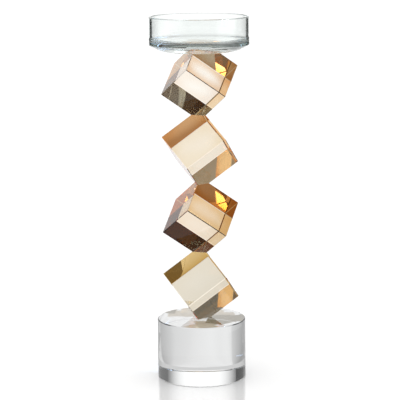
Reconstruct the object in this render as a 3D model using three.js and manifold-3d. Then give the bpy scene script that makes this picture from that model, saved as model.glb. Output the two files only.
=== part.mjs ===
// A tall candle holder: four amber crystal cubes stacked corner to corner on a clear crystal
// drum, with a glass dish for a pillar candle on top. Clear adhesive films bond the stack into
// one rigid piece, so nothing in it moves.
//
// Millimetres, +Z up. The origin is the middle of the drum's underside, on the table.

import * as THREE from 'three';
import { mergeVertices } from 'three/addons/utils/BufferGeometryUtils.js';
import Module from 'manifold-3d';

const wasm = await Module();
wasm.setup();

// ---------------------------------------------------------------- driving dimensions

// The drum that the stack stands on.
const DRUM_DIAMETER = 93;
const DRUM_HEIGHT = 63;
const DRUM_CHAMFER = 0.8;

// The cubes. Each stands on a corner, with its long diagonal upright.
const CUBE_COUNT = 4;
const CUBE_EDGE = 50;
const CUBE_CHAMFER = 0.6; // width of the polished flat along each edge, measured on a face
const STACK_TURN = -19.5; // degrees from the front to the bottom cube's nearest lower edge
const CUBE_TURN = 60; // degrees that each cube is turned from the one below

// How far each kind of corner is ground back, along the cube's diagonal.
const DRUM_FLAT_DEPTH = 8;
const CUBE_FLAT_DEPTH = 7.1;
const DISH_FLAT_DEPTH = 13.6;

// The adhesive film in each joint.
const FILM_THICKNESS = 0.2;
const FILM_INSET = 0.1; // from a flat's chamfered corner in to the film's corner

// The dish. Heights are from its own underside.
const DISH_DIAMETER = 104;
const DISH_HEIGHT = 36;
const DISH_WALL = 2.8;
const DISH_FLOOR = 12; // thickness of glass under the candle
const DISH_HEEL_WIDTH = 18; // from the flat foot in the middle out to the wall
const DISH_HEEL_RADIUS = 20; // the curve from the foot up into the heel
const DISH_HEEL_SLOPE = 27; // degrees that the heel rises
const DISH_HIP_RADIUS = 1.2; // the tight curve where the heel meets the wall
const DISH_INNER_FILLET = 2.5;

// How finely round shapes are divided.
const ROUND_SEGMENTS = 72;
const ARC_STEPS = 6; // even, so that an arc over the lip has a point at its top

const CUBE_DIAGONAL = CUBE_EDGE * Math.sqrt(3);
const LOWER_TO_UPPER = 60; // degrees from a cube's lower edge round to its next upper edge
const FRONT = -90; // degrees from +X to the object's front, which faces -Y

// ---------------------------------------------------------------- materials

const clearCrystal = new THREE.MeshStandardMaterial({
  name: 'clear_crystal', color: 0xe9eded, roughness: 0.03, metalness: 0,
});
const amberCrystal = new THREE.MeshStandardMaterial({
  name: 'amber_crystal', color: 0xd9a566, roughness: 0.03, metalness: 0,
});
const dishGlass = new THREE.MeshStandardMaterial({
  name: 'dish_glass', color: 0xdfe8e3, roughness: 0.04, metalness: 0,
});
const clearAdhesive = new THREE.MeshStandardMaterial({
  name: 'clear_adhesive', color: 0xf1efe6, roughness: 0.2, metalness: 0,
});

// ---------------------------------------------------------------- helpers

// Turns a closed geometry into a solid that can be cut.
function toSolid(geometry) {
  const bare = geometry.clone();
  bare.deleteAttribute('normal');
  bare.deleteAttribute('uv');
  const merged = mergeVertices(bare);
  return new wasm.Manifold(new wasm.Mesh({
    numProp: 3,
    vertProperties: new Float32Array(merged.attributes.position.array),
    triVerts: new Uint32Array(merged.index.array),
  }));
}

// Turns a cut solid back into a geometry.
function toGeometry(solid) {
  const mesh = solid.getMesh();
  const geometry = new THREE.BufferGeometry();
  geometry.setAttribute('position', new THREE.BufferAttribute(mesh.vertProperties, 3));
  geometry.setIndex(new THREE.BufferAttribute(mesh.triVerts, 1));
  geometry.computeVertexNormals();
  return geometry;
}

// Revolves an outline of [radius, height] points about +Z.
function revolve(outline) {
  const points = outline.map(([radius, height]) => new THREE.Vector2(radius, height));
  return new THREE.LatheGeometry(points, ROUND_SEGMENTS).rotateX(Math.PI / 2);
}

// Points along an arc of a [radius, height] outline. Angles are in degrees from outward, and
// both ends are included.
function arc([radius, height], size, from, to) {
  return Array.from({ length: ARC_STEPS + 1 }, (_, i) => {
    const angle = THREE.MathUtils.degToRad(from + (to - from) * i / ARC_STEPS);
    return [radius + size * Math.cos(angle), height + size * Math.sin(angle)];
  });
}

function named(name, geometry, material, height, turn = 0) {
  const mesh = new THREE.Mesh(geometry, material);
  mesh.name = name;
  mesh.position.z = height;
  mesh.rotation.z = THREE.MathUtils.degToRad(turn);
  return mesh;
}

// ---------------------------------------------------------------- the drum

function drumGeometry() {
  const radius = DRUM_DIAMETER / 2;
  return revolve([
    [0, 0],
    [radius - DRUM_CHAMFER, 0],
    [radius, DRUM_CHAMFER],
    [radius, DRUM_HEIGHT - DRUM_CHAMFER],
    [radius - DRUM_CHAMFER, DRUM_HEIGHT],
    [0, DRUM_HEIGHT],
  ]);
}

// ---------------------------------------------------------------- the cubes

// Stands a box that is square to the axes on its corner, with one of the three upper edges'
// outer ends towards +X, and the lowest corner at the origin.
function standOnCorner(box) {
  const diagonal = new THREE.Vector3(1, 1, 1).normalize();
  const up = new THREE.Vector3(0, 0, 1);
  const upright = new THREE.Quaternion().setFromUnitVectors(diagonal, up);
  return box
    .applyQuaternion(upright)
    .rotateZ(-Math.PI / 4)
    .translate(0, 0, CUBE_DIAGONAL / 2);
}

// The whole cube with its edges chamfered: a cube shared with three square bars, each of which
// lies along one axis and is turned to cut that axis's four edges.
function chamferedCube() {
  const long = 2 * CUBE_EDGE;
  const across = Math.SQRT2 * (CUBE_EDGE - CUBE_CHAMFER);
  const bars = [
    new THREE.BoxGeometry(long, across, across).rotateX(Math.PI / 4),
    new THREE.BoxGeometry(across, long, across).rotateY(Math.PI / 4),
    new THREE.BoxGeometry(across, across, long).rotateZ(Math.PI / 4),
  ];
  const cube = new THREE.BoxGeometry(CUBE_EDGE, CUBE_EDGE, CUBE_EDGE);
  return bars.reduce(
    (solid, bar) => solid.intersect(toSolid(standOnCorner(bar))),
    toSolid(standOnCorner(cube)),
  );
}

// A cube with its lowest and highest corners ground flat. Its lower flat is at height 0.
function groundCube(flatBelow, flatAbove) {
  const height = CUBE_DIAGONAL - flatBelow - flatAbove;
  const slab = new THREE.BoxGeometry(CUBE_DIAGONAL * 2, CUBE_DIAGONAL * 2, height)
    .translate(0, 0, height / 2);
  const cube = toGeometry(chamferedCube()).translate(0, 0, -flatBelow);
  return { geometry: toGeometry(toSolid(cube).intersect(toSolid(slab))), height };
}

// ---------------------------------------------------------------- the adhesive films

// A triangular film that just fits on a flat ground to this depth, with a corner towards +X.
function filmGeometry(flatDepth) {
  const sharpCornerRadius = flatDepth * Math.SQRT2;
  const lostToChamfer = CUBE_CHAMFER * Math.sqrt(1.5);
  const cornerRadius = sharpCornerRadius - lostToChamfer - FILM_INSET;
  const outline = new THREE.Shape([0, 1, 2].map((corner) => {
    const angle = corner * 2 * Math.PI / 3;
    return new THREE.Vector2(cornerRadius * Math.cos(angle), cornerRadius * Math.sin(angle));
  }));
  return new THREE.ExtrudeGeometry(outline, { depth: FILM_THICKNESS, bevelEnabled: false });
}

// ---------------------------------------------------------------- the dish

// The underside curves up from a flat foot into a sloping heel, turns tightly into a straight
// wall with a round lip, and comes down inside to a flat floor.
function dishGeometry() {
  const outer = DISH_DIAMETER / 2;
  const inner = outer - DISH_WALL;
  const foot = outer - DISH_HEEL_WIDTH;
  const slope = THREE.MathUtils.degToRad(DISH_HEEL_SLOPE);
  const turnsAt = DISH_HEEL_SLOPE - 90;
  const heel = arc([foot, DISH_HEEL_RADIUS], DISH_HEEL_RADIUS, -90, turnsAt);

  // From the end of its curve the heel runs straight to the hip, which continues its slope.
  const [heelRadius, heelHeight] = heel.at(-1);
  const hipCentre = outer - DISH_HIP_RADIUS;
  const hipStart = hipCentre + DISH_HIP_RADIUS * Math.sin(slope);
  const hipHeight = heelHeight + (hipStart - heelRadius) * Math.tan(slope);
  const hipLevel = hipHeight + DISH_HIP_RADIUS * Math.cos(slope);
  const lip = DISH_WALL / 2;

  return revolve([
    [0, 0],
    ...heel,
    ...arc([hipCentre, hipLevel], DISH_HIP_RADIUS, turnsAt, 0),
    ...arc([outer - lip, DISH_HEIGHT - lip], lip, 0, 180),
    ...arc([inner - DISH_INNER_FILLET, DISH_FLOOR + DISH_INNER_FILLET], DISH_INNER_FILLET, 0, -90),
    [0, DISH_FLOOR],
  ]);
}

// ---------------------------------------------------------------- the assembly

const candleHolder = new THREE.Group();
candleHolder.add(named('base_drum', drumGeometry(), clearCrystal, 0));

// Each film's corners point along the edges that meet at its flats.
let level = DRUM_HEIGHT;
for (let i = 0; i < CUBE_COUNT; i += 1) {
  const flatBelow = i === 0 ? DRUM_FLAT_DEPTH : CUBE_FLAT_DEPTH;
  const flatAbove = i === CUBE_COUNT - 1 ? DISH_FLAT_DEPTH : CUBE_FLAT_DEPTH;
  const lowerEdge = FRONT + STACK_TURN + i * CUBE_TURN;
  const upperEdge = lowerEdge + LOWER_TO_UPPER;

  const filmName = i === 0 ? 'bond_drum_to_cube_1' : `bond_cube_${i}_to_cube_${i + 1}`;
  candleHolder.add(named(filmName, filmGeometry(flatBelow), clearAdhesive, level, lowerEdge));
  level += FILM_THICKNESS;

  const { geometry, height } = groundCube(flatBelow, flatAbove);
  candleHolder.add(named(`crystal_cube_${i + 1}`, geometry, amberCrystal, level, upperEdge));
  level += height;
}

const topEdge = FRONT + STACK_TURN + (CUBE_COUNT - 1) * CUBE_TURN + LOWER_TO_UPPER;
const topFilm = `bond_cube_${CUBE_COUNT}_to_dish`;
candleHolder.add(named(topFilm, filmGeometry(DISH_FLAT_DEPTH), clearAdhesive, level, topEdge));
level += FILM_THICKNESS;
candleHolder.add(named('candle_dish', dishGeometry(), dishGlass, level));

export default candleHolder;
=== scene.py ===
import math

import bmesh
import bpy
from mathutils import Matrix, Vector


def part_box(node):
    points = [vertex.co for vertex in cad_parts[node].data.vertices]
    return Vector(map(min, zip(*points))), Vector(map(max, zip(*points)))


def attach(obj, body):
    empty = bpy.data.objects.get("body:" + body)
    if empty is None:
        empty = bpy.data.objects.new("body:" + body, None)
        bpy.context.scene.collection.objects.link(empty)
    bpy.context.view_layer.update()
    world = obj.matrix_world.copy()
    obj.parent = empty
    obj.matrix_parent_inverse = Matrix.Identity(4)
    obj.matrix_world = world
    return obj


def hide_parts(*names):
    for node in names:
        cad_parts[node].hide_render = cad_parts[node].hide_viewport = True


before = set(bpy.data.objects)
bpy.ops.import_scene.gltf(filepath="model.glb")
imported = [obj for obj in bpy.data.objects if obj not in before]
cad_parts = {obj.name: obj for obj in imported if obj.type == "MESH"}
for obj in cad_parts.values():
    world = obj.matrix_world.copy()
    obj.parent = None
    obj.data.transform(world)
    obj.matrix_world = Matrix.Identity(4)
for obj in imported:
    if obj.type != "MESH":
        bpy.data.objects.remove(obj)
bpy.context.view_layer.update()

MM = 0.001

# ---------------------------------------------------------------- sizes repeated from the CAD, mm
DRUM_CHAMFER = 0.8
CUBE_EDGE = 50.0
CUBE_CHAMFER = 0.6
STACK_TURN = -19.5
CUBE_TURN = 60.0
LOWER_TO_UPPER = 60.0
FRONT = -90.0
DRUM_FLAT_DEPTH = 8.0
CUBE_FLAT_DEPTH = 7.1
DISH_FLAT_DEPTH = 13.6
FILM_INSET = 0.1
DISH_WALL = 2.8
DISH_FLOOR = 12.0
DISH_HEEL_WIDTH = 18.0
DISH_HEEL_RADIUS = 20.0
DISH_HEEL_SLOPE = 27.0
DISH_HIP_RADIUS = 1.2
DISH_INNER_FILLET = 2.5

CUBE_DIAGONAL = CUBE_EDGE * math.sqrt(3.0)

# ---------------------------------------------------------------- sizes of the looks, mm
DRUM_ARRIS = 0.12  # radius of the arcs that ease both sides of each of the drum's chamfers
BOND_BITE = 0.05  # how far the cured adhesive wets into each side
CUT_TOLERANCE = 1e-5
ROUND_SEGMENTS = 192


# ---------------------------------------------------------------- mesh helpers
def add_object(name, mesh):
    piece = bpy.data.objects.new(name, mesh)
    bpy.context.scene.collection.objects.link(piece)
    return piece


def add_bmesh(name, bm):
    mesh = bpy.data.meshes.new(name)
    bm.to_mesh(mesh)
    bm.free()
    return add_object(name, mesh)


def arc(centre, radius, start, end, steps):
    """Points of an outline along an arc, each with the angle of its outward normal."""
    points = []
    for i in range(steps + 1):
        angle = start + (end - start) * i / steps
        c, s = math.cos(math.radians(angle)), math.sin(math.radians(angle))
        points.append((centre[0] + radius * c, centre[1] + radius * s, angle))
    return points


def hollow(centre, radius, start, end, steps):
    """As arc, for a concave run: the surface's normal points to the centre."""
    return [(r, z, a + 180.0) for r, z, a in arc(centre, radius, start, end, steps)]


def lathe(name, outline, base):
    """A solid of revolution about Z with exact normals. The outline holds radius, height and
    the normal's angle, in mm and degrees, and starts and ends on the axis."""
    verts, normals, rings = [], [], []
    for r, z, angle in outline:
        n_r, n_z = math.cos(math.radians(angle)), math.sin(math.radians(angle))
        if r == 0.0:
            rings.append([len(verts)])
            verts.append((0.0, 0.0, base + z * MM))
            normals.append((0.0, 0.0, math.copysign(1.0, n_z)))
            continue
        ring = []
        for k in range(ROUND_SEGMENTS):
            t = 2.0 * math.pi * k / ROUND_SEGMENTS
            ring.append(len(verts))
            verts.append((r * MM * math.cos(t), r * MM * math.sin(t), base + z * MM))
            normals.append((n_r * math.cos(t), n_r * math.sin(t), n_z))
        rings.append(ring)
    faces = []
    for low, high in zip(rings, rings[1:]):
        for k in range(ROUND_SEGMENTS):
            j = (k + 1) % ROUND_SEGMENTS
            if len(low) == 1:
                faces.append((low[0], high[j], high[k]))
            elif len(high) == 1:
                faces.append((low[k], low[j], high[0]))
            else:
                faces.append((low[k], low[j], high[j], high[k]))
    mesh = bpy.data.meshes.new(name)
    mesh.from_pydata(verts, [], faces)
    mesh.validate()
    mesh.shade_smooth()
    mesh.normals_split_custom_set_from_vertices(normals)
    return add_object(name, mesh)


# ---------------------------------------------------------------- the drum
def make_drum():
    lo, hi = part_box("base_drum")
    radius, height = (hi.x - lo.x) / 2 / MM, (hi.z - lo.z) / MM
    # where the arcs that ease the arrises are centred, in from the ends and in from the side
    chamfer_in = DRUM_CHAMFER + DRUM_ARRIS * math.tan(math.radians(22.5))
    cap, side = radius - chamfer_in, radius - DRUM_ARRIS
    outline = [(0.0, 0.0, -90.0)]
    outline += arc((cap, DRUM_ARRIS), DRUM_ARRIS, -90, -45, 3)
    outline += arc((side, chamfer_in), DRUM_ARRIS, -45, 0, 3)
    outline += arc((side, height - chamfer_in), DRUM_ARRIS, 0, 45, 3)
    outline += arc((cap, height - DRUM_ARRIS), DRUM_ARRIS, 45, 90, 3)
    outline += [(0.0, height, 90.0)]
    return lathe("drum", outline, lo.z)


# ---------------------------------------------------------------- the dish
def make_dish():
    lo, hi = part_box("candle_dish")
    outer, height = (hi.x - lo.x) / 2 / MM, (hi.z - lo.z) / MM
    inner = outer - DISH_WALL
    foot = outer - DISH_HEEL_WIDTH
    slope = math.radians(DISH_HEEL_SLOPE)
    turns_at = DISH_HEEL_SLOPE - 90.0
    heel = arc((foot, DISH_HEEL_RADIUS), DISH_HEEL_RADIUS, -90, turns_at, 12)
    heel_r, heel_z, _ = heel[-1]
    hip_centre = outer - DISH_HIP_RADIUS
    hip_start = hip_centre + DISH_HIP_RADIUS * math.sin(slope)
    hip_z = heel_z + (hip_start - heel_r) * math.tan(slope)
    hip_level = hip_z + DISH_HIP_RADIUS * math.cos(slope)
    lip = DISH_WALL / 2
    fillet = (inner - DISH_INNER_FILLET, DISH_FLOOR + DISH_INNER_FILLET)
    outline = [(0.0, 0.0, -90.0)]
    outline += heel
    outline += arc((hip_centre, hip_level), DISH_HIP_RADIUS, turns_at, 0, 8)
    outline += arc((outer - lip, height - lip), lip, 0, 180, 16)
    outline += hollow(fillet, DISH_INNER_FILLET, 0, -90, 10)
    outline += [(0.0, DISH_FLOOR, 90.0)]
    return lathe("dish", outline, lo.z)


# ---------------------------------------------------------------- the cubes
def cube_planes(flat_below, flat_above):
    """The planes that bound a cube about the origin, before it is stood on its corner."""
    planes = []
    for axis in range(3):
        for side in (-1, 1):
            normal = Vector((0, 0, 0))
            normal[axis] = side
            planes.append((normal * (CUBE_EDGE / 2), normal))
    chamfer_at = (CUBE_EDGE - CUBE_CHAMFER) / math.sqrt(2.0)
    for a, b in ((0, 1), (0, 2), (1, 2)):
        for s in (-1, 1):
            for t in (-1, 1):
                normal = Vector((0, 0, 0))
                normal[a], normal[b] = s, t
                normal.normalize()
                planes.append((normal * chamfer_at, normal))
    up = Vector((1, 1, 1)).normalized()
    planes.append((up * (CUBE_DIAGONAL / 2 - flat_above), up))
    planes.append((-up * (CUBE_DIAGONAL / 2 - flat_below), -up))
    return planes


def stand_in_stack(index, flat_below, level):
    """The move from a cube in mm about the origin to its place in the stack, in metres."""
    up = Vector((1, 1, 1)).normalized()
    upright = up.rotation_difference(Vector((0, 0, 1))).to_matrix().to_4x4()
    lower_edge = FRONT + STACK_TURN + (index - 1) * CUBE_TURN
    turn = Matrix.Rotation(math.radians(lower_edge + LOWER_TO_UPPER), 4, "Z")
    # the upper edges run down from the top corner along -X, -Y and -Z; one is brought to +X
    lean = (upright @ Vector((-1, 0, 0))).xy
    square = Matrix.Rotation(-math.atan2(lean.y, lean.x), 4, "Z")
    lift = Matrix.Translation((0, 0, CUBE_DIAGONAL / 2 - flat_below))
    scale = Matrix.Scale(MM, 4)
    return Matrix.Translation((0, 0, level)) @ scale @ turn @ lift @ square @ upright


def make_cube(index, flat_below, flat_above, film, gild):
    """A cube standing on its corner, its edges chamfered and its end corners ground flat. Its
    X, Y and Z faces carry film and gild as attributes."""
    lo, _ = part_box(f"crystal_cube_{index}")
    bm = bmesh.new()
    bmesh.ops.create_cube(bm, size=CUBE_EDGE * 4)
    for point, normal in cube_planes(flat_below, flat_above):
        cut = bmesh.ops.bisect_plane(
            bm,
            geom=bm.verts[:] + bm.edges[:] + bm.faces[:],
            dist=CUT_TOLERANCE,
            plane_co=point,
            plane_no=normal,
            clear_outer=True,
        )
        edges = [g for g in cut["geom_cut"] if isinstance(g, bmesh.types.BMEdge)]
        bmesh.ops.contextual_create(bm, geom=edges)
    bmesh.ops.recalc_face_normals(bm, faces=bm.faces[:])
    layers = [bm.faces.layers.float.new(name) for name in ("film", "gild")]
    for face in bm.faces:
        for axis in range(3):
            if abs(face.normal[axis]) > 0.99:
                for layer, amounts in zip(layers, (film, gild)):
                    face[layer] = amounts[axis]
    bm.transform(stand_in_stack(index, flat_below, lo.z))
    return add_bmesh(f"cube_{index}", bm)


# ---------------------------------------------------------------- the bonds
def make_bond(name, node, flat_depth, turn):
    """A triangular film of adhesive, with a corner towards turn."""
    lo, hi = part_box(node)
    bite = BOND_BITE * MM
    lost_to_chamfer = CUBE_CHAMFER * math.sqrt(1.5)
    corner = (flat_depth * math.sqrt(2.0) - lost_to_chamfer - FILM_INSET) * MM
    bm = bmesh.new()
    ring = []
    for k in range(3):
        t = math.radians(turn + 120 * k)
        ring.append(bm.verts.new((corner * math.cos(t), corner * math.sin(t), lo.z - bite)))
    face = bm.faces.new(ring)
    top = bmesh.ops.extrude_face_region(bm, geom=[face])
    moved = [g for g in top["geom"] if isinstance(g, bmesh.types.BMVert)]
    bmesh.ops.translate(bm, vec=(0, 0, hi.z - lo.z + 2 * bite), verts=moved)
    bmesh.ops.recalc_face_normals(bm, faces=bm.faces[:])
    return add_bmesh(name, bm)


# ---------------------------------------------------------------- materials
WHITE = (1.0, 1.0, 1.0)


def new_material(name):
    material = bpy.data.materials.new(name)
    material.use_nodes = True
    material.node_tree.nodes.clear()
    return material, material.node_tree.nodes, material.node_tree.links


def noise(nodes, links, scale, detail, stretch=(1, 1, 1)):
    """Noise fixed to the object. The scale is in cycles per metre."""
    place = nodes.new("ShaderNodeTexCoord")
    squeeze = nodes.new("ShaderNodeVectorMath")
    squeeze.operation = "MULTIPLY"
    squeeze.inputs[1].default_value = stretch
    links.new(place.outputs["Object"], squeeze.inputs[0])
    texture = nodes.new("ShaderNodeTexNoise")
    texture.inputs["Scale"].default_value = scale
    texture.inputs["Detail"].default_value = detail
    links.new(squeeze.outputs[0], texture.inputs["Vector"])
    return texture.outputs["Fac"]


def between(nodes, links, value, low, high, start=0.3, end=0.7):
    """Maps start to end onto low to high. Nearly all of a noise lies between 0.3 and 0.7."""
    spread = nodes.new("ShaderNodeMapRange")
    spread.inputs["From Min"].default_value = start
    spread.inputs["From Max"].default_value = end
    spread.inputs["To Min"].default_value = low
    spread.inputs["To Max"].default_value = high
    links.new(value, spread.inputs["Value"])
    return spread.outputs["Result"]


def waviness(nodes, links, height, distance):
    """A normal for a surface that rises with height. A height of 1 is distance, in metres."""
    bump = nodes.new("ShaderNodeBump")
    bump.inputs["Strength"].default_value = 1.0
    bump.inputs["Distance"].default_value = distance
    links.new(height, bump.inputs["Height"])
    return bump.outputs["Normal"]


def glass_material(name, clearest, greyest, ior, wave, wave_scale, roughest, stretch=(1, 1, 1)):
    """Clear glass with faint cloudy striae, polish that isn't quite even, and a slow waviness
    whose height is wave in metres and whose scale is in cycles per metre."""
    material, nodes, links = new_material(name)
    out = nodes.new("ShaderNodeOutputMaterial")
    glass = nodes.new("ShaderNodeBsdfGlass")
    glass.inputs["IOR"].default_value = ior
    striae = between(nodes, links, noise(nodes, links, 26, 3, (1, 1, 0.35)), 0.0, 1.0)
    links.new(two_colours(nodes, links, striae, clearest, greyest), glass.inputs["Color"])
    wipes = noise(nodes, links, 90, 5, (1, 1, 0.5))
    links.new(between(nodes, links, wipes, 0.0, roughest), glass.inputs["Roughness"])
    swell = noise(nodes, links, wave_scale, 1, stretch)
    links.new(waviness(nodes, links, swell, wave), glass.inputs["Normal"])
    links.new(glass.outputs["BSDF"], out.inputs["Surface"])
    return material


def two_colours(nodes, links, factor, a, b):
    """A socket that goes from colour a to colour b, as factor goes from 0 to 1. Each colour is
    three numbers or a socket."""
    mix = nodes.new("ShaderNodeMix")
    mix.data_type = "RGBA"
    sockets = {i.identifier: i for i in mix.inputs}
    for key, colour in (("A_Color", a), ("B_Color", b)):
        if isinstance(colour, tuple):
            sockets[key].default_value = (*colour, 1.0)
        else:
            links.new(colour, sockets[key])
    links.new(factor, sockets["Factor_Float"])
    return {o.identifier: o for o in mix.outputs}["Result_Color"]


def length(nodes, links, vector):
    node = nodes.new("ShaderNodeVectorMath")
    node.operation = "LENGTH"
    links.new(vector, node.inputs[0])
    return node.outputs["Value"]


def from_axis(nodes, links, near, far):
    """0 within near metres of the object's upright axis, and 1 beyond far."""
    place = nodes.new("ShaderNodeTexCoord")
    flat = nodes.new("ShaderNodeVectorMath")
    flat.operation = "MULTIPLY"
    flat.inputs[1].default_value = (1, 1, 0)
    links.new(place.outputs["Object"], flat.inputs[0])
    spread = nodes.new("ShaderNodeMapRange")
    spread.interpolation_type = "SMOOTHSTEP"
    spread.inputs["From Min"].default_value = near
    spread.inputs["From Max"].default_value = far
    links.new(length(nodes, links, flat.outputs[0]), spread.inputs["Value"])
    return spread.outputs["Result"]


CRYSTAL_IOR = 1.52
FILM_MIRROR = 0.01  # the share that the amber film mirrors of a ray that meets it head on
AXIAL_GILD = 0.7  # how rich the mirror inside is near the upright axis, as a share of the corners

# metres from the upright axis between which the film and the mirror grow to their full strength
FILM_GROWS = (0.026, 0.038)
GILD_GROWS = (0.014, 0.038)


def share_on_face(nodes, links, attribute, limits, at_axis):
    """What the face carries of this attribute, less near the upright axis than at the corners."""
    carried = nodes.new("ShaderNodeAttribute")
    carried.attribute_name = attribute
    grow = nodes.new("ShaderNodeMath")
    grow.operation = "MULTIPLY_ADD"
    grow.inputs[1].default_value = 1.0 - at_axis
    grow.inputs[2].default_value = at_axis
    links.new(from_axis(nodes, links, *limits), grow.inputs[0])
    return multiply(nodes, links, carried.outputs["Fac"], grow.outputs[0])


def multiply(nodes, links, a, b):
    product = nodes.new("ShaderNodeMath")
    product.operation = "MULTIPLY"
    links.new(a, product.inputs[0])
    links.new(b, product.inputs[1])
    return product.outputs[0]


def amber_material(name, evenness, pale, deep, gold, orange):
    """Crystal under a thin amber film, which came out of its bath in faint clouds. The film
    tints what passes it from pale to deep, by how thickly each face carries it, and what it
    mirrors inside from gold to orange. Outside it mirrors white."""
    material, nodes, links = new_material(name)
    out = nodes.new("ShaderNodeOutputMaterial")
    thick = share_on_face(nodes, links, "film", FILM_GROWS, evenness)
    clouds = between(nodes, links, noise(nodes, links, 45, 4), 0.82, 1.18)
    uneven = multiply(nodes, links, thick, clouds)
    passes = two_colours(nodes, links, uneven, pale, deep)
    richness = share_on_face(nodes, links, "gild", GILD_GROWS, AXIAL_GILD)
    inside = two_colours(nodes, links, richness, gold, orange)
    side = nodes.new("ShaderNodeNewGeometry")
    mirrored = two_colours(nodes, links, side.outputs["Backfacing"], WHITE, inside)
    bend = nodes.new("ShaderNodeBsdfRefraction")
    bend.inputs["IOR"].default_value = CRYSTAL_IOR
    links.new(passes, bend.inputs["Color"])
    mirror = nodes.new("ShaderNodeBsdfGlossy")
    wipes = between(nodes, links, noise(nodes, links, 110, 5), 0.0, 0.004)
    polished = waviness(nodes, links, noise(nodes, links, 60, 1), 0.000002)
    for shader in (bend, mirror):
        links.new(wipes, shader.inputs["Roughness"])
        links.new(polished, shader.inputs["Normal"])
    links.new(mirrored, mirror.inputs["Color"])
    fresnel = nodes.new("ShaderNodeFresnel")
    fresnel.inputs["IOR"].default_value = CRYSTAL_IOR
    share = between(nodes, links, fresnel.outputs["Fac"], FILM_MIRROR, 1.0, 0.0, 1.0)
    surface = mix_shaders(nodes, links, share, bend.outputs["BSDF"], mirror.outputs["BSDF"])
    links.new(surface, out.inputs["Surface"])
    return material


def mix_shaders(nodes, links, share, a, b):
    """Goes from shader a to shader b, as share goes from 0 to 1."""
    blend = nodes.new("ShaderNodeMixShader")
    links.new(share, blend.inputs["Fac"])
    links.new(a, blend.inputs[1])
    links.new(b, blend.inputs[2])
    return blend.outputs["Shader"]


# ---------------------------------------------------------------- the object
clear = glass_material(
    "clear_crystal_glass", (0.99, 0.99, 0.99), (0.975, 0.98, 0.98), CRYSTAL_IOR, 0.000003, 40, 0.01
)
# cube: how thickly its X, Y and Z faces are filmed, how golden each mirrors inside, how evenly
# the film is spread, and then the colours pale, deep, gold and orange
AMBER = {
    4: ((1.0, 0.3, 0.6), (0.2, 0.6, 0.45), 0.06,
        (1.0, 0.99, 0.96), (0.85, 0.63, 0.44), (1.0, 0.95, 0.78), (0.90, 0.58, 0.30)),
    3: ((0.9, 0.8, 0.5), (0.15, 0.6, 1.0), 0.5,
        (1.0, 0.97, 0.92), (0.94, 0.86, 0.72), (1.0, 0.88, 0.64), (0.87, 0.43, 0.16)),
    2: ((0.8, 1.0, 0.3), (0.0, 0.5, 1.0), 0.45,
        (1.0, 0.97, 0.92), (0.88, 0.68, 0.42), (0.99, 0.88, 0.70), (0.80, 0.38, 0.13)),
    1: ((0.8, 0.7, 0.8), (1.0, 0.05, 0.3), 0.7,
        (0.99, 0.97, 0.92), (0.95, 0.90, 0.80), (0.99, 0.90, 0.66), (0.96, 0.66, 0.25)),
}
dish_glass = glass_material(
    "dish_glass", (0.99, 0.995, 0.992), (0.972, 0.985, 0.98), 1.50, 0.00002, 34, 0.02, (1, 1, 0.4)
)
bond_glass = glass_material(
    "clear_adhesive_resin", WHITE, (0.96, 0.96, 0.94), 1.50, 0.0000005, 200, 0.002
)


def dress(piece, node, material):
    """Hides the CAD node that a piece stands for, hangs the piece from the root body, and gives it
    its material.
    """
    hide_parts(node)
    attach(piece, "root")
    piece.data.materials.append(material)


dress(make_drum(), "base_drum", clear)
dress(make_dish(), "candle_dish", dish_glass)

# how deep the corners are ground at each joint, from the drum up
flat_depths = [DRUM_FLAT_DEPTH, CUBE_FLAT_DEPTH, CUBE_FLAT_DEPTH, CUBE_FLAT_DEPTH, DISH_FLAT_DEPTH]
for i in sorted(AMBER):
    film, gild, *looks = AMBER[i]
    cube = make_cube(i, flat_depths[i - 1], flat_depths[i], film, gild)
    dress(cube, f"crystal_cube_{i}", amber_material(f"amber_crystal_{i}", *looks))

bond_nodes = [
    "bond_drum_to_cube_1",
    "bond_cube_1_to_cube_2",
    "bond_cube_2_to_cube_3",
    "bond_cube_3_to_cube_4",
    "bond_cube_4_to_dish",
]
for i, (node, depth) in enumerate(zip(bond_nodes, flat_depths)):
    bond = make_bond(f"bond_{i + 1}", node, depth, FRONT + STACK_TURN + i * CUBE_TURN)
    dress(bond, node, bond_glass)

# ---------------------------------------------------------------- the floor
FLOOR_HALF = 30.0
FLOOR_GLOSS = 0.3  # the share of the floor that mirrors, near the object
GLOSS_FADES = (0.4, 1.4)  # metres from the object between which it stops mirroring

# The floor lies just above the table of painted light and shade, and the sectors' sheets of
# painted shadow just above that, metres.
SHEET = 0.00001
FLOOR_LEVEL = -3 * SHEET
TABLE_LEVEL = -10 * SHEET


def floor_material():
    """Pale paint with a fine grain, under a soft polish."""
    material, nodes, links = new_material("floor_white")
    out = nodes.new("ShaderNodeOutputMaterial")
    paint = nodes.new("ShaderNodeBsdfDiffuse")
    grain = noise(nodes, links, 400, 3)
    shades = two_colours(nodes, links, grain, (0.71, 0.71, 0.71), (0.73, 0.73, 0.73))
    links.new(shades, paint.inputs["Color"])
    gloss = nodes.new("ShaderNodeBsdfGlossy")
    gloss.inputs["Color"].default_value = (*WHITE, 1.0)
    links.new(between(nodes, links, grain, 0.05, 0.09), gloss.inputs["Roughness"])
    place = nodes.new("ShaderNodeTexCoord")
    away = length(nodes, links, place.outputs["Object"])
    share = between(nodes, links, away, FLOOR_GLOSS, 0.0, *GLOSS_FADES)
    surface = mix_shaders(nodes, links, share, paint.outputs["BSDF"], gloss.outputs["BSDF"])
    links.new(surface, out.inputs["Surface"])
    return material


def make_floor():
    s = FLOOR_HALF
    mesh = bpy.data.meshes.new("floor")
    mesh.from_pydata([(-s, -s, 0), (s, -s, 0), (s, s, 0), (-s, s, 0)], [], [(0, 1, 2, 3)])
    mesh.materials.append(floor_material())
    floor = add_object("floor", mesh)
    floor.location.z = FLOOR_LEVEL
    floor.visible_glossy = False  # the glass sees the table's painted light and shade beneath it instead
    floor.visible_transmission = False
    return floor


make_floor()


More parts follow.
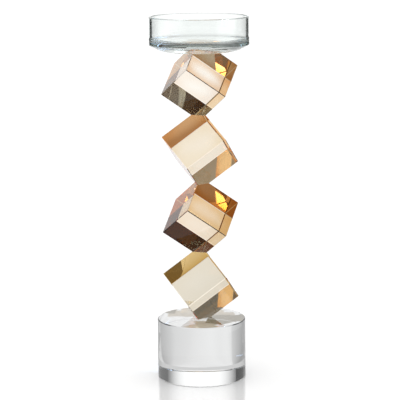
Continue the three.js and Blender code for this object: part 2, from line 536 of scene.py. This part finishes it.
# ---------------------------------------------------------------- what only the glass sees
def finish_glow(material, nodes, links, glow):
    out = nodes.new("ShaderNodeOutputMaterial")
    links.new(glow.outputs["Emission"], out.inputs["Surface"])
    material.cycles.emission_sampling = "NONE"
    return material


def glow_material(name, color, strength, edge=None):
    """A glow. With edge, it fades across its width, from strength in the middle to edge."""
    material, nodes, links = new_material(name)
    glow = nodes.new("ShaderNodeEmission")
    glow.inputs["Color"].default_value = (*color, 1.0)
    glow.inputs["Strength"].default_value = strength
    if edge is not None:
        place = nodes.new("ShaderNodeTexCoord")
        middle = nodes.new("ShaderNodeVectorMath")
        middle.operation = "MULTIPLY_ADD"
        middle.inputs[1].default_value = (2, 0, 0)
        middle.inputs[2].default_value = (-1, 0, 0)
        links.new(place.outputs["UV"], middle.inputs[0])
        fade = nodes.new("ShaderNodeMapRange")
        fade.interpolation_type = "SMOOTHSTEP"
        fade.inputs["From Min"].default_value = 0.25
        fade.inputs["To Min"].default_value = strength
        fade.inputs["To Max"].default_value = edge
        links.new(length(nodes, links, middle.outputs[0]), fade.inputs["Value"])
        links.new(fade.outputs["Result"], glow.inputs["Strength"])
    return finish_glow(material, nodes, links, glow)


def for_glass_only(piece):
    """The glass mirrors and shows this; the camera and the floor's light don't."""
    piece.visible_camera = False
    piece.visible_diffuse = False
    piece.visible_shadow = False
    piece.visible_volume_scatter = False


CARD_CENTRE = Vector((0, 0, 0.19))  # what every card faces, metres


def quad(name, corners, material):
    mesh = bpy.data.meshes.new(name)
    mesh.from_pydata(corners, [], [(0, 1, 2, 3)])
    uv = mesh.uv_layers.new(name="UV")
    for loop, at in zip(uv.data, ((0, 0), (1, 0), (1, 1), (0, 1))):
        loop.uv = at
    mesh.materials.append(material)
    for_glass_only(add_object(name, mesh))


def card(name, azimuth, elevation, wide, high, distance, material):
    """A card that faces the object. Azimuth 0 is behind it and 90 to its right; the sizes are
    half angles. Angles are in degrees and the distance in metres."""
    a, e = math.radians(azimuth), math.radians(elevation)
    out = Vector((math.sin(a) * math.cos(e), math.cos(a) * math.cos(e), math.sin(e)))
    right = Vector((math.cos(a), -math.sin(a), 0))
    up = right.cross(out)
    w = right * distance * math.tan(math.radians(wide))
    h = up * distance * math.tan(math.radians(high))
    p = CARD_CENTRE + out * distance
    quad(name, [p - w - h, p + w - h, p + w + h, p - w + h], material)


def sector(name, turn, reach, sheet, material):
    """Part of a ring on the table. turn holds its two azimuths, and reach its two radii. A
    lower sheet number lies higher."""
    steps = 32
    corners = []
    for r, (a, b) in ((reach[0], turn), (reach[1], turn[::-1])):
        for k in range(steps + 1):
            t = math.radians(a + (b - a) * k / steps)
            corners.append((r * math.sin(t), r * math.cos(t), -sheet * SHEET))
    mesh = bpy.data.meshes.new(name)
    mesh.from_pydata(corners, [], [tuple(range(len(corners)))])
    mesh.materials.append(material)
    for_glass_only(add_object(name, mesh))


def studio_room(name, radius, color, strength):
    bm = bmesh.new()
    bmesh.ops.create_icosphere(bm, subdivisions=4, radius=radius)
    room = add_bmesh(name, bm)
    room.data.materials.append(glow_material(name, color, strength))
    for_glass_only(room)


def sweep(name, radius, low, high, strength):
    """A low wall of light round the table."""
    steps = 64
    verts, faces = [], []
    for k in range(steps):
        t = 2 * math.pi * k / steps
        verts += [(radius * math.cos(t), radius * math.sin(t), z) for z in (low, high)]
        j = (k + 1) % steps
        faces.append((2 * k, 2 * j, 2 * j + 1, 2 * k + 1))
    mesh = bpy.data.meshes.new(name)
    mesh.from_pydata(verts, [], faces)
    mesh.materials.append(glow_round(name, strength, SWEEP_ROUND))
    for_glass_only(add_object(name, mesh))


# Where the drum brings level light from the front to a line, metres behind the axis. Azimuths
# on the table and the sweep are taken about it, so that the drum shows them as columns.
DRUM_FOCUS = 0.057

# How brightly the table and the sweep glow, by azimuth in degrees, and how the table's glow
# changes with distance from the object in metres. The table's glow is painted light and shade:
# it is darker at the sides and near the object as painted shadow, and lighter at some azimuths
# as painted light.
PAINTED_TABLE_ROUND = [
    (-180, 0.45), (-125, 0.45), (-116, 0.80), (-113, 0.75), (-110, 0.45), (-90, 0.45),
    (-66, 0.37), (-56, 0.46), (-44, 0.55), (-34, 0.66), (-31, 0.84), (-23, 0.88),
    (-16, 0.86), (-8, 0.90), (0, 0.87), (6, 0.835), (12, 0.785), (26, 0.74),
    (35, 0.65), (48, 0.57), (66, 0.50), (68.5, 0.70), (74, 0.78), (85, 0.95),
    (105, 1.08), (140, 0.7), (180, 0.45),
]
PAINTED_TABLE_AWAY = [
    (0.0, 1.0), (0.05, 1.0), (0.2, 1.0), (0.45, 1.06), (0.95, 1.17), (1.7, 1.19), (3.2, 1.26),
]
SWEEP_ROUND = [
    (-180, 0.1), (-110, 0.3), (-100, 0.9), (-80, 0.9), (-70, 0.3), (-50, 0.4), (-40, 1.0),
    (40, 1.0), (50, 0.35), (70, 0.3), (84, 0.12), (96, 1.0), (130, 1.0), (145, 0.2),
    (180, 0.1),
]


def ramp(nodes, links, value, stops):
    """A grey ramp through the stops, and their highest level, of which its greys are shares."""
    low, high = stops[0][0], stops[-1][0]
    top = max(level for _, level in stops)
    shade = nodes.new("ShaderNodeValToRGB")
    points = shade.color_ramp.elements
    for i, (at, level) in enumerate(stops):
        place = (at - low) / (high - low)
        point = points[i] if i < 2 else points.new(place)
        point.position = place
        point.color = (level / top, level / top, level / top, 1.0)
    links.new(between(nodes, links, value, 0.0, 1.0, low, high), shade.inputs["Fac"])
    return shade.outputs["Color"], top


def glow_round(name, strength, by_turn, by_distance=None):
    """A glow that changes with azimuth and, if given, with distance from the object."""
    material, nodes, links = new_material(name)
    place = nodes.new("ShaderNodeTexCoord")
    from_focus = nodes.new("ShaderNodeVectorMath")
    from_focus.operation = "SUBTRACT"
    from_focus.inputs[1].default_value = (0, DRUM_FOCUS, 0)
    links.new(place.outputs["Object"], from_focus.inputs[0])
    split = nodes.new("ShaderNodeSeparateXYZ")
    links.new(from_focus.outputs[0], split.inputs[0])
    azimuth = nodes.new("ShaderNodeMath")
    azimuth.operation = "ARCTAN2"
    links.new(split.outputs["X"], azimuth.inputs[0])
    links.new(split.outputs["Y"], azimuth.inputs[1])
    degrees = nodes.new("ShaderNodeMath")
    degrees.operation = "DEGREES"
    links.new(azimuth.outputs[0], degrees.inputs[0])
    colour, top = ramp(nodes, links, degrees.outputs[0], by_turn)
    if by_distance:
        away = length(nodes, links, place.outputs["Object"])
        near_far, highest = ramp(nodes, links, away, by_distance)
        both = nodes.new("ShaderNodeVectorMath")
        both.operation = "MULTIPLY"
        links.new(colour, both.inputs[0])
        links.new(near_far, both.inputs[1])
        colour = both.outputs[0]
        top *= highest
    glow = nodes.new("ShaderNodeEmission")
    glow.inputs["Strength"].default_value = strength * top
    links.new(colour, glow.inputs["Color"])
    return finish_glow(material, nodes, links, glow)


# A disc under the floor that only the glass sees. It glows with painted light and shade in place
# of the lit floor and the object's shadow on it.
def table_for_glass(name, radius):
    bm = bmesh.new()
    bmesh.ops.create_circle(bm, cap_ends=True, segments=96, radius=radius)
    table = add_bmesh(name, bm)
    table.data.materials.append(glow_round(name, 1.0, PAINTED_TABLE_ROUND, PAINTED_TABLE_AWAY))
    table.location.z = TABLE_LEVEL
    for_glass_only(table)


COOL = (0.5, 0.68, 1.0)
CREAM = (1.0, 0.86, 0.66)
OLIVE = (1.0, 0.8, 0.45)
BROWN = (1.0, 0.5, 0.3)

# azimuth, elevation, half width, half height, distance, and then colour and strength
CARDS = {
    "key_softbox": (118, 29, 13, 13, 2.4, COOL, 45.0),
    "ceiling": (0, 90, 9, 9, 2.4, WHITE, 0.2),
    "front_top": (180, 60, 14, 9, 2.6, WHITE, 0.8),
    "brown_overhead": (92, 69, 7, 7, 2.2, BROWN, 0.12),
    "dark_card": (82, 42, 8, 9, 2.0, BROWN, 0.03),
    "dark_low": (-127, 44, 14, 8.5, 2.0, WHITE, 0.11),
    "fill": (-124, 63, 14, 9.5, 2.0, WHITE, 0.34),
    "flag_0": (-53, 17, 13, 11, 1.6, WHITE, 0.08),
    "horizon_0": (-34, -5.5, 14, 5, 3.2, WHITE, 0.03),
    "flag_2": (53, 17, 13, 11, 1.6, WHITE, 0.17),
    "horizon_2": (34, -5.5, 14, 5, 3.2, WHITE, 0.03),
}

# Patches on the table that only the glass sees: painted shadows of the object on the floor, some
# warm as painted amber shadow, and lighter ones under the drum as painted light.
# azimuths, radii in metres, sheet, and then colour and strength
PAINTED_LIGHT_AND_SHADE_PATCHES = {
    "under_middle": ((-90, 90), (0.0, 0.022), 5, CREAM, 0.64),
    "under_left": ((-75, -15), (0.024, 0.046), 5, WHITE, 0.95),
    "under_drum": ((-180, 180), (0.0002, 0.0462), 8, WHITE, 1.0),
    "collar_left": ((-150, -66), (0.0467, 0.25), 6, WHITE, 0.42),
    "collar_back": ((-50, 60), (0.0467, 0.061), 6, WHITE, 0.68),
    "collar_right": ((60, 150), (0.0467, 0.063), 6, WHITE, 0.5),
    "under_far": ((-38, 38), (0.022, 0.036), 6, CREAM, 0.55),
    "under_back": ((8, 48), (0.028, 0.046), 4, OLIVE, 0.22),
    "under_right": ((65, 110), (0.022, 0.046), 5, WHITE, 0.6),
    "shade_near": ((44, 64), (0.048, 0.096), 5, WHITE, 0.42),
    "shade_mid": ((49, 64), (0.096, 0.165), 5, WHITE, 0.42),
    "shade_right": ((58, 112), (0.05, 0.25), 5, WHITE, 0.40),
}

studio_room("room", 8.0, WHITE, 0.18)
table_for_glass("table_painted_light_and_shade", 3.9)
sweep("sweep", 3.9, -0.1, 0.30, 1.14)
card("backdrop", 0, 20, 42, 19, 3.4, glow_material("backdrop", WHITE, 1.14, 0.2))
for name, (*where, colour, strength) in CARDS.items():
    card(name, *where, glow_material(name, colour, strength))
for name, (*where, colour, strength) in PAINTED_LIGHT_AND_SHADE_PATCHES.items():
    sector(name, *where, glow_material(name, colour, strength))

# ---------------------------------------------------------------- the light
scene = bpy.context.scene
world = bpy.data.worlds.new("studio")
scene.world = world
world.use_nodes = True
background = world.node_tree.nodes["Background"]
background.inputs["Color"].default_value = (*WHITE, 1.0)
background.inputs["Strength"].default_value = 1.5

# ---------------------------------------------------------------- the camera
SENSOR_WIDTH = 36.0
FOCAL_PER_WIDTH = 4.3  # the focal length, as a share of the frame's width
CAMERA_PLACE = (-0.0005, -1.778, 0.5087)
PITCH, ROLL = 10.17, -0.5  # degrees down, and degrees about the line of sight

camera_data = bpy.data.cameras.new("camera")
camera_data.sensor_width = SENSOR_WIDTH
camera_data.lens = SENSOR_WIDTH * FOCAL_PER_WIDTH
camera = bpy.data.objects.new("camera", camera_data)
scene.collection.objects.link(camera)
camera.matrix_world = (
    Matrix.Translation(CAMERA_PLACE)
    @ Matrix.Rotation(math.radians(90 - PITCH), 4, "X")
    @ Matrix.Rotation(math.radians(ROLL), 4, "Z")
)
scene.camera = camera

# ---------------------------------------------------------------- how the light is followed
scene.view_settings.view_transform = "Standard"
scene.cycles.max_bounces = 40
scene.cycles.transmission_bounces = 40
scene.cycles.glossy_bounces = 24
scene.cycles.diffuse_bounces = 4
scene.cycles.transparent_max_bounces = 16
scene.cycles.caustics_reflective = True
scene.cycles.caustics_refractive = True
scene.cycles.blur_glossy = 0.0
scene.cycles.sample_clamp_indirect = 2.5
